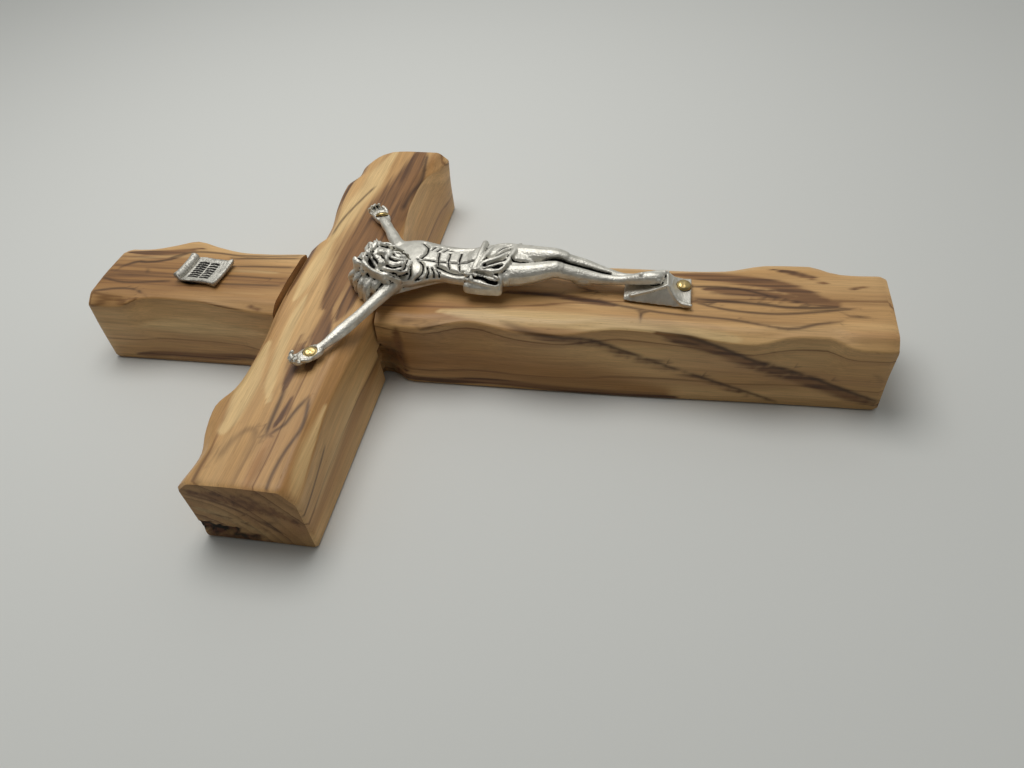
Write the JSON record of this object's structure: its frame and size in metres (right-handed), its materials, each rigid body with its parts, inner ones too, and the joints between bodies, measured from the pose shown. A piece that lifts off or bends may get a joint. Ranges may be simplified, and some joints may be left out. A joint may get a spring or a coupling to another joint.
{
  "type": "wall crucifix",
  "caption": "Olive wood wall crucifix with a cast metal figure, a small cast scroll and brass nails, lying on its flat back.",
  "frame": {"origin": "on the flat back, under the centre of the crossing of the two bars", "axes": "+Z out of the face, +Y toward the head of the cross, +X to the viewer's right"},
  "size_m": [0.131, 0.2005, 0.0339],
  "materials": {
    "olive_wood_upright": "honey olive wood with dark brown streaks along the grain, hand gouged edges, oiled satin",
    "olive_wood_crossbar": "olive wood with chocolate brown heartwood and honey sapwood bands, oiled satin",
    "antiqued_silver": "silver plated zinc casting, rubbed bright on the heights and blackened in the hollows",
    "brass_nail": "plain bright brass, domed heads"
  },
  "bodies": {
    "root": {"upright": "olive_wood_upright", "crossbar": "olive_wood_crossbar", "corpus": "antiqued_silver", "title_scroll": "antiqued_silver", "right_hand_nail": "brass_nail", "left_hand_nail": "brass_nail", "foot_nail": "brass_nail"}
  },
  "joints": []
}
